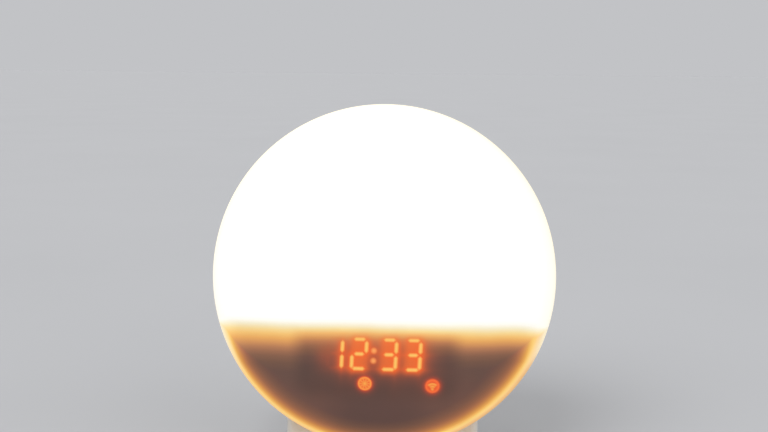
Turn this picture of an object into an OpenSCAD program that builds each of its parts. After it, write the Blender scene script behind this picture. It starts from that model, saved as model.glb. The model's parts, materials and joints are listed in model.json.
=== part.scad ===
// Sunrise alarm clock: a round lamp on a foot, with a display behind the lower part of the diffuser.
// Lengths are in millimetres. X is to the right, -Y is the front, and Z = 0 is the table.
// Most pieces are drawn in the face frame: x to the right, y up the face, z out towards the front,
// with z = 0 where the dome meets the ring.

/* [Lamp] */
// Outside diameter of the dome, ring and rear housing
lamp_d = 172; // [168:1:186]
// Depth of the diffuser dome in front of the ring
dome_depth = 40; // [38:1:48]
// Fullness of the dome: 2 is an ellipse and more is squarer
dome_power = 2.6; // [2.4:0.1:3]
// Wall of the diffuser dome
dome_wall = 2.2; // [1.8:0.1:2.8]
// Depth of the ring between dome and rear housing
ring_depth = 16; // [15.5:0.5:20]
// Wall of the ring and the rear housing
shell_wall = 2.2; // [1.8:0.1:2.6]
// Depth of the rear housing behind the ring
rear_depth = 38; // [36:1:46]
// Width of the rear housing's rounded shoulder, round its flat back
shoulder_w = 34; // [28:1:36]
// Fullness of the rear housing's shoulder
rear_power = 2.4; // [2:0.1:3]
// Width of the chamfer on the ring at each seam
seam_w = 0.4; // [0.2:0.1:0.6]
// Depth of the dome's lip inside the ring
lip_depth = 2.5; // [1.5:0.1:2.7]
// Wall of the lips
lip_wall = 2; // [1.4:0.1:2.4]
// Gap between a lip and the ring round it
lip_gap = 0.2; // [0.1:0.05:0.4]
// Angle by which the face leans back
face_tilt = 8; // [4:0.5:12]
// Height of the lamp's lowest point above the table
lamp_clearance = 4.8; // [4.6:0.1:8]

/* [Foot] */
// Width of the foot
foot_w = 97; // [90:1:110]
// Reach of the foot in front of the lamp's middle plane
foot_front = 34; // [28:1:44]
// Reach of the foot behind the lamp's middle plane
foot_back = 46; // [44:1:56]
// Corner radius of the foot seen from above
foot_corner_r = 14; // [8:1:20]
// Height of the foot's toe
toe_h = 4.8; // [4.6:0.1:6]
// Radius of the toe's upper edges
toe_edge_r = 1.6; // [0.8:0.1:1.8]
// Wall of the foot
foot_wall = 2.4; // [2:0.1:3]
// Distance from the seam plane back to the front of the neck
neck_inset = 1; // [0.5:0.5:3]
// Depth of the neck at the height of the toe
neck_depth = 42; // [38:1:46]
// Slope of the neck's back, in degrees from upright
neck_slope = 14; // [0:1:20]
// Height of the rubber feet below the base plate
pad_h = 1; // [0.8:0.1:1.4]
// Diameter of a rubber foot
pad_d = 12; // [8:1:14]
// Thickness of the base plate
base_t = 1.8; // [1.4:0.1:2]

/* [Keys] */
// Keys on each side of the ring
keys_per_side = 4; // [4:1:4]
// Distance between neighbouring keys
key_pitch = 18; // [16:0.5:20]
// Length of a key
key_len = 13; // [10:0.5:14]
// Width of a key
key_w = 6; // [5:0.2:6.4]
// Height of a key's face above the ring
key_proud = 0.4; // [0:0.1:1]
// Travel of a key
key_travel = 0.5; // [0.3:0.1:0.6]
// Gap round a key in its slot
key_gap = 0.3; // [0.3:0.05:0.5]
// Thickness of the rim that holds a key in the ring
key_rim_t = 1.5; // [1:0.1:2]
// Width by which that rim reaches past the key
key_rim_w = 0.9; // [0.6:0.1:1.2]

/* [Display] */
// Distance from the lamp's axis down to the top of the baffle
baffle_drop = 24.6; // [22:0.2:26]
// Gap between the display's lower corners and the shroud's wall
shroud_side_gap = 0.9; // [0.6:0.1:0.9]
// Wall of the display shroud
shroud_wall = 1.6; // [1.2:0.1:1.8]
// Width of the display frame
display_w = 76; // [72:1:77]
// Height of the display frame
display_h = 29; // [28.6:0.2:29.4]
// Depth of the display frame
display_depth = 8; // [7:0.5:9]
// Sideways place of the display frame
display_x = -2.2; // [-4:0.1:4]
// Angle by which the display follows the dome's curve
display_tilt = 10; // [6:1:12]
// Height of a digit
digit_h = 16.6; // [14:0.1:16.8]
// Width of a digit
digit_w = 8.8; // [8:0.1:9.4]
// Width of a segment
segment_w = 1.7; // [1.2:0.1:1.9]
// Gap between neighbouring segments
segment_gap = 0.6; // [0.4:0.1:0.8]
// Distance between neighbouring digits
digit_pitch = 11.2; // [11:0.1:12]
// Extra distance across the colon
colon_space = 3; // [3:0.1:5]
// Lean of the digits, in degrees
digit_lean = 5; // [0:1:8]
// Height of the digits' middle above the frame's middle
digit_rise = 4.4; // [4:0.1:4.8]
// Diameter of an icon lens
icon_d = 7; // [6:0.1:7.6]
// Distance between neighbouring icons
icon_pitch = 15.9; // [14:0.1:16]
// Sideways place of the icons' middle in the frame
icon_x = 3.4; // [0:0.1:4]
// Drop of the icons below the frame's middle
icon_drop = 9.2; // [8.6:0.1:9.4]

/* [Lamp board] */
// Distance of the reflector's bowl inside the lamp's outline
bowl_inset = 28; // [27:0.5:32]
// Depth of the reflector's bowl
bowl_depth = 8; // [6:0.5:9]
// Rings of LED chips
led_rings = 4; // [2:1:5]
// Edge of an LED chip
led_size = 3; // [2:0.1:3.4]

/* [Rear] */
// Height of the speaker's axis above the lamp's axis
speaker_rise = 14; // [13:1:16]
// Outside diameter of the speaker
speaker_d = 50; // [46:1:51]
// Depth of the speaker behind its flange
speaker_depth = 17; // [14:1:18]
// Rings of holes in the speaker grille
grille_rings = 6; // [3:1:6]
// Diameter of a grille hole
grille_hole_d = 2.4; // [1.6:0.1:2.8]
// Distance between rings of grille holes
grille_pitch = 4; // [3.6:0.1:4.1]
// Slots in each row of vents
vent_count = 7; // [3:2:9]
// Length of a vent slot
vent_len = 8; // [5:0.5:9]
// Width of a vent slot
vent_w = 1.8; // [1:0.1:2.2]
// Drop of the ports below the lamp's axis
port_drop = 31; // [30:1:33]
// Distance of each port from the middle
port_x = 12; // [11:0.5:14]
// Depth of the port recess
port_recess = 3; // [2:0.5:4]
// Bore of the DC inlet
dc_bore_d = 5.6; // [5:0.1:6.4]
// Width of the USB socket
usb_w = 13.2; // [12.5:0.1:13.6]
// Height of the USB socket
usb_h = 5.8; // [5:0.1:6.4]

/* [Boards] */
// Thickness of every circuit board
board_t = 1.6; // [1:0.1:1.8]
// Width of the main board
main_w = 62; // [58:1:66]
// Height of the main board
main_h = 45; // [43:1:46]
// Diameter of the coin cell
cell_d = 20; // [16:1:20]
// Thickness of the coin cell
cell_t = 3.2; // [1.6:0.1:3.4]
// Height of a tactile switch body
switch_h = 3.5; // [3:0.1:4]
// Height of a switch's plunger above its body
plunger_h = 1.5; // [1:0.1:2]

/* [Fasteners] */
// Shank diameter of the case screws
case_screw_d = 3; // [2.6:0.1:3.2]
// Shank diameter of the board screws
board_screw_d = 2.2; // [1.8:0.1:2.4]
// Distance of the ring's posts inside its wall, to their axis
post_inset = 9.4; // [8.8:0.1:9.8]
// Diameter of the ring's posts
post_d = 8; // [7:0.2:8.4]

/* [Hidden] */
$fn = 96;

eps = 0.01;
lamp_r = lamp_d / 2;
ring_r = lamp_r - shell_wall;
back_r = lamp_r - shoulder_w;
post_r = ring_r - post_inset;
bowl_r = lamp_r - bowl_inset;
profile_steps = 22;
crown_r = 3;
cut = 2;

// Dome and rear housing profiles, as half a squared-off ellipse
function squared(c, power) = pow(max(c, 0), 2 / power);
function dome_profile(inset) =
    [for (k = [0 : profile_steps]) let (t = 90 * k / profile_steps)
        [max((lamp_r - inset) * squared(cos(t), dome_power), crown_r),
         (dome_depth - inset) * squared(sin(t), dome_power)]];
function rear_profile(inset) =
    [for (k = [0 : profile_steps]) let (t = 90 * k / profile_steps)
        [back_r + (lamp_r - back_r - inset) * squared(cos(t), rear_power),
         -ring_depth - (rear_depth - inset) * squared(sin(t), rear_power)]];
// Height of the dome's inside, grown inwards by inset, at a distance r from the axis
function dome_z(r, inset) =
    (dome_depth - inset) * pow(max(1 - pow(r / (lamp_r - inset), dome_power), 0), 1 / dome_power);

// The lamp stands so that its lowest point is lamp_clearance above the table
lamp_drop = max([for (p = rear_profile(0)) p[0] * cos(face_tilt) - p[1] * sin(face_tilt)]);
centre_h = lamp_drop + lamp_clearance;
back_z = -ring_depth - rear_depth;
back_inner_z = back_z + shell_wall;
post_fit = 0.2;

module face_frame() {
    translate([0, 0, centre_h]) rotate([90 - face_tilt, 0, 0]) children();
}

// Pill outline along x, with round ends
module pill(len, w) {
    square([len - w, w], center = true);
    for (side = [-1, 1]) translate([side * (len - w) / 2, 0]) circle(d = w);
}

// Rectangle with round corners, centred
module round_rect(w, h, r) {
    square([w - 2 * r, h], center = true);
    square([w, h - 2 * r], center = true);
    for (sx = [-1, 1], sy = [-1, 1]) translate([sx * (w / 2 - r), sy * (h / 2 - r)]) circle(r);
}

// Tube about z, between two radii
module tube(r_out, r_in, z0, z1) {
    translate([0, 0, z0]) difference() {
        cylinder(r = r_out, h = z1 - z0);
        translate([0, 0, -1]) cylinder(r = r_in, h = z1 - z0 + 2);
    }
}

module rod(d, z0, z1) {
    translate([0, 0, z0]) cylinder(d = d, h = z1 - z0);
}

// Pan-head screw along +z from its head seat at z = 0, with its shank reaching down to -len
head_w = 1.9;
head_t = 0.7;
module screw(d, len) {
    rod(d, -len, 0);
    difference() {
        rod(d * head_w, 0, d * head_t);
        for (turn = [0, 90]) rotate(turn)
            translate([0, 0, d * head_t]) cube([d * 1.1, d * 0.25, d * 0.7], center = true);
    }
}
screw_fit = 0.1;

// Diffuser dome: a thin squared-off bowl with a lip and snap tabs that enter the ring
lip_r = ring_r - lip_gap;
lip_inner_r = lip_r - lip_wall;
tab_angles = [50, 90, 130, 230, 270, 310];
tab_sweep = 8;
tab_depth = 5;
tab_barb = 0.8;
barb_h = 1.4;
tab_inset = 0.3;
tab_r = lip_inner_r + tab_inset;
barb_gap = 0.2;
module dome_solid(inset) {
    rotate_extrude() polygon(concat([[0, 0]], dome_profile(inset), [[0, dome_depth - inset]]));
}
// A sector of a ring from r_in to r_out and from z0 to z1, centred on the x axis
module sector(sweep, r_in, r_out, z0, z1) {
    rotate(-sweep / 2) rotate_extrude(angle = sweep) translate([r_in, z0]) square([r_out - r_in, z1 - z0]);
}
// The barb of a snap tab, or with grow the pocket that it enters
module barb(grow) {
    sector(tab_sweep + 2 * grow, tab_r, ring_r + tab_barb + grow,
           -tab_depth - grow, -tab_depth + barb_h + grow);
}
module diffuser_dome() {
    color("ivory") face_frame() {
        rotate_extrude() polygon(concat(
            dome_profile(0), [[0, dome_depth], [0, dome_depth - dome_wall]],
            [for (k = [profile_steps : -1 : 0]) let (p = dome_profile(dome_wall)[k])
                if (p[1] > dome_wall) p],
            [[lip_inner_r, dome_wall], [lip_inner_r, -lip_depth], [lip_r, -lip_depth], [lip_r, 0]]));
        for (a = tab_angles) rotate(a) {
            sector(tab_sweep, tab_r, lip_r - tab_inset, -tab_depth, -tab_inset);
            barb(0);
        }
    }
}

// Side ring: carries the keys, the key boards and the posts that join front and back
key_z = -7;
web_z = key_z - key_w / 2 - key_rim_w - 0.9;
web_t = 1.8;
web_w = 15.8;
web_inner_r = ring_r - web_w;
post_back = -ring_depth - 6;
post_angles = [45, 135, 225, 315];
pilot_depth = 9;
function key_row() = [for (k = [0 : keys_per_side - 1]) (k - (keys_per_side - 1) / 2) * key_pitch];
module key_hole(y) {
    translate([ring_r / 2, y, key_z]) rotate([90, 0, 90])
        linear_extrude(lamp_r) pill(key_len + 2 * key_gap, key_w + 2 * key_gap);
}
// Key boards stand upright behind the keys, on the ring's web
board_margin = 2;
row_reach = (keys_per_side - 1) / 2 * key_pitch + key_len / 2;
rim_r = ring_r - key_gap;
stem_least = 1.2;
press_gap = key_travel + 0.2;
stem_end = sqrt(pow(rim_r - key_rim_t, 2) - pow(row_reach + key_rim_w, 2)) - stem_least;
key_board_x = stem_end - press_gap - plunger_h - switch_h;
key_board_len = 2 * row_reach + 2 * board_margin;
key_board_h = 9.6;
clip_w = 2.4;
clip_t = 1.2;
clip_h = 8;
module board_clip() {
    difference() {
        translate([key_board_x - board_t - clip_t, 0, web_z]) cube([board_t + 2 * clip_t, clip_w, clip_h]);
        translate([key_board_x - board_t - screw_fit, -eps, web_z])
            cube([board_t + 2 * screw_fit, clip_w / 2 + screw_fit, clip_h + 1]);
    }
}
module side_ring() {
    color("white") face_frame() difference() {
        union() {
            rotate_extrude() polygon([
                [ring_r, -ring_depth], [lamp_r - seam_w, -ring_depth], [lamp_r, seam_w - ring_depth],
                [lamp_r, -seam_w], [lamp_r - seam_w, 0], [ring_r, 0]]);
            tube(ring_r + eps, web_inner_r, web_z - web_t, web_z);
            for (a = post_angles) rotate(a) translate([post_r, 0]) rod(post_d, post_back, 0);
            for (side = [0, 180], end = [0, 1]) rotate(side) mirror([0, end, 0])
                translate([0, key_board_len / 2 - clip_w / 2, 0]) board_clip();
        }
        for (side = [0, 180], y = key_row()) rotate(side) key_hole(y);
        for (a = post_angles) rotate(a) translate([post_r, 0]) {
            rod(case_screw_d + screw_fit, post_back - 1, post_back + pilot_depth);
            rod(board_screw_d + screw_fit, -pilot_depth / 2, 1);
        }
        for (a = tab_angles) rotate(a) barb(barb_gap);
    }
}

// Rear housing: a dished shell with a grille, vents, screw wells and a recess for the ports
well_d = 7.4;
well_wall = 1.6;
grille_border = 2.5;
grille_r = grille_rings * grille_pitch + grille_border;
grille_recess = 0.8;
vent_pitch = 6;
vent_rise = 45;
vent_drop = 47;
recess_side = 12;
recess_w = 2 * (port_x + recess_side);
recess_h = 17;
recess_r = 3;
main_drop = 8;
main_y = -port_drop - main_drop;
main_z = -36;
hole_inset = 4;
main_hole_x = main_w / 2 - hole_inset;
main_hole_y = main_h / 2 - hole_inset;
boss_d = 6;
ear_reach = 2.5;
seat_h = 3;
speaker_ear_r = speaker_d / 2 + ear_reach;
speaker_seat_z = back_inner_z + seat_h;
ear_angles = [45, 135, 225, 315];
foot_screw_x = 30;
foot_screw_z = -26;
foot_boss_d = 9;
foot_seat_inset = 12;
foot_seat_y = foot_seat_inset - lamp_r;
rear_lip = 1.4;
lip_root = 3;
dc_wall = 2;
dc_body_d = dc_bore_d + 2 * dc_wall;
port_fit = 0.3;
module rear_solid(grow) {
    rotate_extrude() polygon(concat([[0, -ring_depth]], rear_profile(-grow), [[0, back_z - grow]]));
}
module rear_cavity() {
    rotate_extrude() polygon(concat([[0, -ring_depth + eps], [lamp_r - shell_wall, -ring_depth + eps]],
        [for (p = rear_profile(shell_wall)) [min(p[0], lamp_r - shell_wall), p[1]]],
        [[0, back_inner_z]]));
}
module at_main_holes() {
    for (sx = [-1, 1], sy = [-1, 1]) translate([sx * main_hole_x, main_y + sy * main_hole_y]) children();
}
module at_speaker_ears() {
    for (a = ear_angles) translate([0, speaker_rise]) rotate(a) translate([speaker_ear_r, 0]) children();
}
module at_foot_screws() {
    for (side = [-1, 1]) translate([side * foot_screw_x, foot_seat_y, foot_screw_z])
        rotate([-90, 0, 0]) children();
}
module grille_holes() {
    translate([0, speaker_rise, back_z - 1]) {
        cylinder(d = grille_hole_d, h = shell_wall + cut, $fn = 24);
        for (ring = [1 : grille_rings], k = [0 : 6 * ring - 1]) rotate(k * 60 / ring)
            translate([ring * grille_pitch, 0]) cylinder(d = grille_hole_d, h = shell_wall + cut, $fn = 24);
    }
}
module vents(y) {
    for (k = [0 : vent_count - 1]) translate([(k - (vent_count - 1) / 2) * vent_pitch, y, back_z - 1])
        linear_extrude(shell_wall + cut) rotate(90) pill(vent_len, vent_w);
}
module rear_housing() {
    color("whitesmoke") face_frame() difference() {
        union() {
            difference() {
                rear_solid(0);
                rear_cavity();
            }
            tube(lip_r, lip_inner_r, -ring_depth - lip_root, -ring_depth + rear_lip);
            tube(ring_r + shell_wall / 2, lip_inner_r, -ring_depth - lip_root, -ring_depth);
            intersection() {
                rear_solid(-eps);
                union() {
                    for (a = post_angles) rotate(a) translate([post_r, 0])
                        rod(well_d + 2 * well_wall, back_z, post_back - post_fit);
                    at_main_holes() rod(boss_d, back_z, main_z - board_t);
                    at_speaker_ears() rod(boss_d, back_z, speaker_seat_z);
                    at_foot_screws() rod(foot_boss_d, -lamp_r / 2, 0);
                    translate([0, -port_drop, back_z]) linear_extrude(port_recess + shell_wall)
                        square([recess_w + 2 * shell_wall, recess_h + 2 * shell_wall], center = true);
                }
            }
        }
        for (a = post_angles) rotate(a) translate([post_r, 0]) {
            rod(well_d, back_z - 1, post_back - post_fit - shell_wall);
            rod(case_screw_d + 2 * screw_fit, back_z, post_back + 1);
        }
        translate([0, speaker_rise, 0]) rod(2 * grille_r, back_z - 1, back_z + grille_recess);
        grille_holes();
        vents(vent_rise);
        vents(-vent_drop);
        translate([0, -port_drop, back_z - 1]) linear_extrude(port_recess + 1)
            round_rect(recess_w, recess_h, recess_r);
        translate([-port_x, -port_drop])
            rod(dc_body_d + 2 * port_fit, back_z, back_inner_z + port_recess + 1);
        translate([port_x, -port_drop, back_z]) linear_extrude(port_recess + shell_wall + 1)
            square([usb_w + 2 * port_fit, usb_h + 2 * port_fit], center = true);
        at_main_holes() rod(board_screw_d + screw_fit, main_z - board_t - pilot_depth, main_z);
        at_speaker_ears() rod(board_screw_d + screw_fit, back_z + grille_recess, speaker_seat_z + 1);
        at_foot_screws() rod(case_screw_d + 2 * screw_fit, -lamp_r / 2, 1);
    }
}

// Foot: a toe that reaches under the dome and a neck that cradles the ring and rear housing
saddle_gap = 0.2;
foot_mid_y = (foot_back - foot_front) / 2;
foot_len = foot_front + foot_back;
neck_top = lamp_clearance + lamp_r / 2;
neck_front = lamp_drop * sin(face_tilt) - neck_inset;
foot_fit = 0.15;
foot_inset = foot_wall + foot_fit;
module foot_plan(inset) {
    translate([0, foot_mid_y]) round_rect(foot_w - 2 * inset, foot_len - 2 * inset, foot_corner_r - inset);
}
// Side view of the foot, in y and z
module foot_side(inset, floor_z) {
    difference() {
        union() {
            translate([-foot_front + inset, floor_z])
                square([foot_len - 2 * inset, toe_h - inset - floor_z]);
            polygon([[-neck_front + inset, floor_z],
                     [-neck_front + inset, toe_h],
                     [-neck_front + inset + (neck_top - toe_h) * tan(face_tilt), neck_top],
                     [neck_depth - neck_front - inset - (neck_top - toe_h) * tan(neck_slope), neck_top],
                     [neck_depth - neck_front - inset, toe_h],
                     [neck_depth - neck_front - inset, floor_z]]);
        }
        for (side = [0, 1]) translate([side == 0 ? -foot_front : foot_back, toe_h]) mirror([side, 0])
            difference() {
                translate([-1, -toe_edge_r]) square([toe_edge_r + 1, toe_edge_r + 1]);
                translate([toe_edge_r, -toe_edge_r]) circle(toe_edge_r);
            }
    }
}
module along_x(w) {
    translate([-w / 2, 0, 0]) rotate([90, 0, 90]) linear_extrude(w) children();
}
// The lamp's outer form, grown by a gap, that the foot is cut with
module lamp_form(grow) {
    face_frame() {
        rod(2 * (lamp_r + grow), -ring_depth - eps, dome_depth);
        rear_solid(grow);
    }
}
foot_screw_len = 12;
base_screw_len = 7;
base_screw_edge = 8;
base_screw_x = foot_w / 2 - base_screw_edge;
base_screw_y = [base_screw_edge - neck_front, neck_depth - neck_front - base_screw_edge - 1];
base_boss_top = 12;
pad_edge = 12;
pad_x = foot_w / 2 - pad_edge;
pad_y = [pad_edge - foot_front, foot_back - pad_edge];
pad_sink = 0.4;
head_gap = 0.3;
base_z = pad_h - pad_sink;
module at_base_screws() {
    for (sx = [-1, 1], y = base_screw_y) translate([sx * base_screw_x, y]) children();
}
module at_pads() {
    for (sx = [-1, 1], y = pad_y) translate([sx * pad_x, y]) children();
}
module foot_shell() {
    color("whitesmoke") difference() {
        union() {
            difference() {
                intersection() {
                    translate([0, 0, base_z]) linear_extrude(neck_top) foot_plan(0);
                    along_x(foot_w) foot_side(0, base_z);
                }
                translate([0, 0, base_z - 1]) linear_extrude(base_t + 1) foot_plan(foot_wall);
                difference() {
                    intersection() {
                        translate([0, 0, base_z]) linear_extrude(neck_top) foot_plan(foot_wall);
                        along_x(foot_w) foot_side(foot_wall, base_z);
                    }
                    lamp_form(saddle_gap + foot_wall);
                }
            }
            intersection() {
                translate([0, 0, base_z + base_t]) linear_extrude(neck_top) foot_plan(foot_wall);
                along_x(foot_w) foot_side(foot_wall / 2, base_z);
                union() {
                    at_base_screws() rod(boss_d + 1, base_z, neck_top);
                    face_frame() at_foot_screws() rod(foot_boss_d, -lamp_r / 2, 0);
                }
            }
        }
        lamp_form(saddle_gap);
        at_base_screws() rod(board_screw_d + screw_fit, base_z, base_boss_top - 1);
        face_frame() at_foot_screws() rod(case_screw_d + screw_fit, -foot_screw_len - 0.5, 0);
    }
}

module base_plate() {
    color("dimgray") difference() {
        translate([0, 0, base_z]) linear_extrude(base_t) foot_plan(foot_inset);
        at_base_screws() {
            rod(board_screw_d + 2 * screw_fit, 0, base_z + base_t + 1);
            rod(board_screw_d * head_w + 2 * head_gap, 0, base_z + base_t / 2);
        }
        at_pads() rod(pad_d, 0, pad_h);
    }
}
module rubber_feet() {
    color("black") at_pads() rod(pad_d, 0, pad_h);
}
module base_screws() {
    color("silver") at_base_screws() translate([0, 0, base_z + base_t / 2]) difference() {
        union() {
            rod(board_screw_d, -eps, base_screw_len);
            rod(board_screw_d * head_w, -base_t / 2 + screw_fit, 0);
        }
        translate([0, 0, -base_t / 2]) cube([board_screw_d * 1.1, board_screw_d * 0.25, 0.8], center = true);
    }
}
module foot_screws() {
    color("silver") face_frame() at_foot_screws() screw(case_screw_d, foot_screw_len);
}
screw_spare = 1.5;
rear_screw_len = shell_wall + pilot_depth - screw_spare;
module rear_screws() {
    color("silver") face_frame() for (a = post_angles) rotate(a)
        translate([post_r, 0, post_back - post_fit - shell_wall]) mirror([0, 0, 1])
            screw(case_screw_d, rear_screw_len);
}

// Reflector: a white plate on the ring's posts, with a bowl for the LED board above the baffle
reflector_t = 1.5;
reflector_gap = 0.4;
reflector_r = lip_inner_r - reflector_gap;
bowl_floor_z = reflector_t - bowl_depth;
bowl_cut = -baffle_drop + reflector_t;
ribbon_w = 12;
ribbon_t = 0.5;
slot_fit = 0.6;
module upper_disc(r, y) {
    intersection() {
        circle(r);
        translate([-r - 1, y]) square([2 * r + 2, r + 1 - y]);
    }
}
module reflector() {
    color("white") face_frame() difference() {
        union() {
            rod(2 * reflector_r, 0, reflector_t);
            translate([0, 0, bowl_floor_z - reflector_t]) linear_extrude(bowl_depth)
                upper_disc(bowl_r + reflector_t, bowl_cut - reflector_t);
        }
        translate([0, 0, bowl_floor_z]) linear_extrude(bowl_depth + 1) upper_disc(bowl_r, bowl_cut);
        for (a = post_angles) rotate(a) translate([post_r, 0])
            rod(board_screw_d + 2 * screw_fit, -1, reflector_t + 1);
        at_led_screws() rod(board_screw_d + screw_fit, bowl_floor_z - bowl_depth, bowl_floor_z + 1);
        ribbon_slot(display_ribbon_y);
        translate([0, led_lead_y, bowl_floor_z])
            cube([ribbon_w + slot_fit, ribbon_t + slot_fit, 2 * bowl_depth], center = true);
    }
}
module reflector_screws() {
    color("silver") face_frame() for (a = post_angles) rotate(a)
        translate([post_r, 0, reflector_t]) screw(board_screw_d, pilot_depth / 2);
}

// LED board with rings of chips
led_board_gap = 1.2;
led_board_r = bowl_r - led_board_gap;
led_y_least = bowl_cut + led_board_gap;
led_hole_r = led_board_r - hole_inset;
led_hole_angles = [0, 60, 120, 180];
led_board_top = bowl_floor_z + board_t;
led_lead_inset = 5;
led_lead_y = led_y_least + led_lead_inset;
module at_led_screws() {
    for (a = led_hole_angles) rotate(a) translate([led_hole_r, 0]) children();
}
module led_board() {
    color("white") face_frame() difference() {
        translate([0, 0, bowl_floor_z]) linear_extrude(board_t) upper_disc(led_board_r, led_y_least);
        at_led_screws() rod(board_screw_d + 2 * screw_fit, bowl_floor_z - 1, led_board_top + 1);
    }
}
led_ring_pitch = 11;
led_margin = 7.5;
led_grip = 2.4;
led_t = 0.8;
module led_chips() {
    color("khaki") face_frame() for (ring = [1 : led_rings], k = [0 : 6 * ring - 1])
        let (r = ring * led_ring_pitch, a = (k + 0.5) * 60 / ring)
        if (r * sin(a) > led_y_least + led_size + led_margin) rotate(a)
            translate([r, 0, led_board_top + led_t / 2]) cube([led_size, led_size, led_t], center = true);
}
module led_board_screws() {
    color("silver") face_frame() at_led_screws() translate([0, 0, led_board_top])
        screw(board_screw_d, board_t + led_grip);
}

// Display shroud: a dished baffle that keeps the lamp's light off the display
shroud_gap = 0.5;
shroud_z = reflector_t;
display_gap = 0.7;
frame_drop = display_h * cos(display_tilt) + display_depth * sin(display_tilt);
bottom_corner_y = baffle_drop + shroud_wall + frame_drop + shroud_gap;
corner_x = display_w / 2 + abs(display_x);
bottom_corner_r = sqrt(pow(corner_x, 2) + pow(bottom_corner_y, 2));
shroud_r = bottom_corner_r + shroud_side_gap + shroud_wall;
display_y = -bottom_corner_y + display_h / 2 * cos(display_tilt);
top_corner_r = sqrt(pow(corner_x, 2) + pow(display_y + display_h / 2 * cos(display_tilt), 2));
display_z = min(dome_z(bottom_corner_r, dome_wall) + display_h / 2 * sin(display_tilt),
                dome_z(top_corner_r, dome_wall) - display_h / 2 * sin(display_tilt)) - display_gap;
ribbon_drop = 2;
display_ribbon_y = display_y - ribbon_drop;
shroud_post_inset = 8;
shroud_post_x = display_w / 2 - shroud_post_inset;
shroud_post_d = 6;
pin_d = 1.8;
module on_display() {
    face_frame() in_display() children();
}
module in_display() {
    translate([display_x, display_y, display_z]) rotate([display_tilt, 0, 0]) children();
}
module ribbon_slot(y) {
    translate([display_x, y, 0])
        cube([ribbon_w + slot_fit, ribbon_t + slot_fit, 2 * (shroud_z + shroud_wall + 1)], center = true);
}
module lower_disc(r, drop) {
    mirror([0, 1]) upper_disc(r, drop);
}
module display_shroud() {
    color("gainsboro") face_frame() difference() {
        union() {
            intersection() {
                dome_solid(dome_wall + shroud_gap);
                difference() {
                    translate([0, 0, shroud_z]) linear_extrude(dome_depth) lower_disc(shroud_r, baffle_drop);
                    translate([0, 0, shroud_z + shroud_wall]) linear_extrude(dome_depth)
                        lower_disc(shroud_r - shroud_wall, baffle_drop + shroud_wall);
                }
            }
            intersection() {
                translate([0, 0, shroud_z]) linear_extrude(dome_depth)
                    lower_disc(shroud_r - eps, baffle_drop + eps);
                in_display() for (side = [-1, 1]) translate([side * shroud_post_x, 0]) {
                    rod(shroud_post_d, -dome_depth, -display_depth - board_t);
                    rod(pin_d, -dome_depth, -display_depth);
                }
            }
        }
        ribbon_slot(display_ribbon_y);
        for (a = post_angles) rotate(a) translate([post_r, 0])
            rod(board_screw_d * head_w + 2 * screw_fit, shroud_z - 1, shroud_z + shroud_wall + 1);
    }
}

// Seven-segment digits
middle = digit_h / 2;
seg_v = middle - segment_w / 2 - segment_gap;
seg_h = digit_w - segment_w - segment_gap;
seg_y = (middle - segment_w / 2) / 2;
// Side, height and direction of each segment: 1 is upright and 0 is level
SEGMENTS = [[0, 2 * seg_y, 0], [1, seg_y, 1], [1, -seg_y, 1], [0, -2 * seg_y, 0],
            [-1, -seg_y, 1], [-1, seg_y, 1], [0, 0, 0]];
// Lit segments of each digit, in the order top, upper right, lower right, bottom, lower left,
// upper left, middle
LIT = [[0, 1, 1, 0, 0, 0, 0], [1, 1, 0, 1, 1, 0, 1], [1, 1, 1, 1, 0, 0, 1], [1, 1, 1, 1, 0, 0, 1]];
function digit_x(k) = (k - 1.5) * digit_pitch + (k < 2 ? -1 : 1) * colon_space / 2;
function lean(y) = y * tan(digit_lean);
// One bar with pointed ends, upright or lying, leaning with its digit
module bar(x, y, upright, grow) {
    len = upright == 1 ? seg_v : seg_h;
    a = len / 2 - segment_w / 2 + grow / 2;
    b = len / 2 + grow;
    w = segment_w / 2 + grow;
    pts = [[-a, w], [a, w], [b, 0], [a, -w], [-a, -w], [-b, 0]];
    polygon([for (p = pts) let (q = upright == 1 ? [p[1], p[0]] : p) [x + q[0] + lean(y + q[1]), y + q[1]]]);
}
module segments(wanted, grow) {
    for (d = [0 : 3], s = [0 : 6]) if (LIT[d][s] == wanted)
        translate([digit_x(d), digit_rise])
            bar(SEGMENTS[s][0] * (digit_w - segment_w) / 2, SEGMENTS[s][1], SEGMENTS[s][2], grow);
}
colon_y = 4;
colon_d = 2.6;
module colon(grow) {
    for (side = [-1, 1]) translate([lean(side * colon_y), digit_rise + side * colon_y])
        circle(d = colon_d + 2 * grow, $fn = 24);
}
frame_wall = 1.2;
face_t = 1.6;
guide_depth = display_depth - 2;
display_screw_d = board_screw_d - 0.5;
display_grip = 3;
corner_post_d = 4;
corner_post_inset = 3;
window_gap = 0.05;
module at_icons() {
    for (k = [0 : 3]) translate([icon_x + (k - 1.5) * icon_pitch, -icon_drop]) children();
}
module at_display_screws() {
    for (sx = [-1, 1], sy = [-1, 1])
        translate([sx * (display_w / 2 - corner_post_inset), sy * (display_h / 2 - corner_post_inset)])
            children();
}
module display_frame() {
    color("black") on_display() difference() {
        union() {
            difference() {
                translate([0, 0, -display_depth]) linear_extrude(display_depth)
                    square([display_w, display_h], center = true);
                translate([0, 0, -display_depth - 1]) linear_extrude(display_depth - face_t + 1)
                    square([display_w - 2 * frame_wall, display_h - 2 * frame_wall], center = true);
            }
            at_display_screws() rod(corner_post_d, -display_depth, -eps);
        }
        translate([0, 0, -face_t - 1]) linear_extrude(face_t + 2) {
            segments(0, window_gap);
            segments(1, window_gap);
            colon(window_gap);
        }
        at_icons() rod(icon_d + screw_fit, -face_t - 1, 1);
        at_display_screws() rod(display_screw_d + screw_fit, -display_depth - 1, -face_t - 1);
    }
}
module lit_segments() {
    color("darkorange") on_display() translate([0, 0, -guide_depth]) linear_extrude(guide_depth) {
        segments(1, 0);
        colon(0);
    }
}
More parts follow.
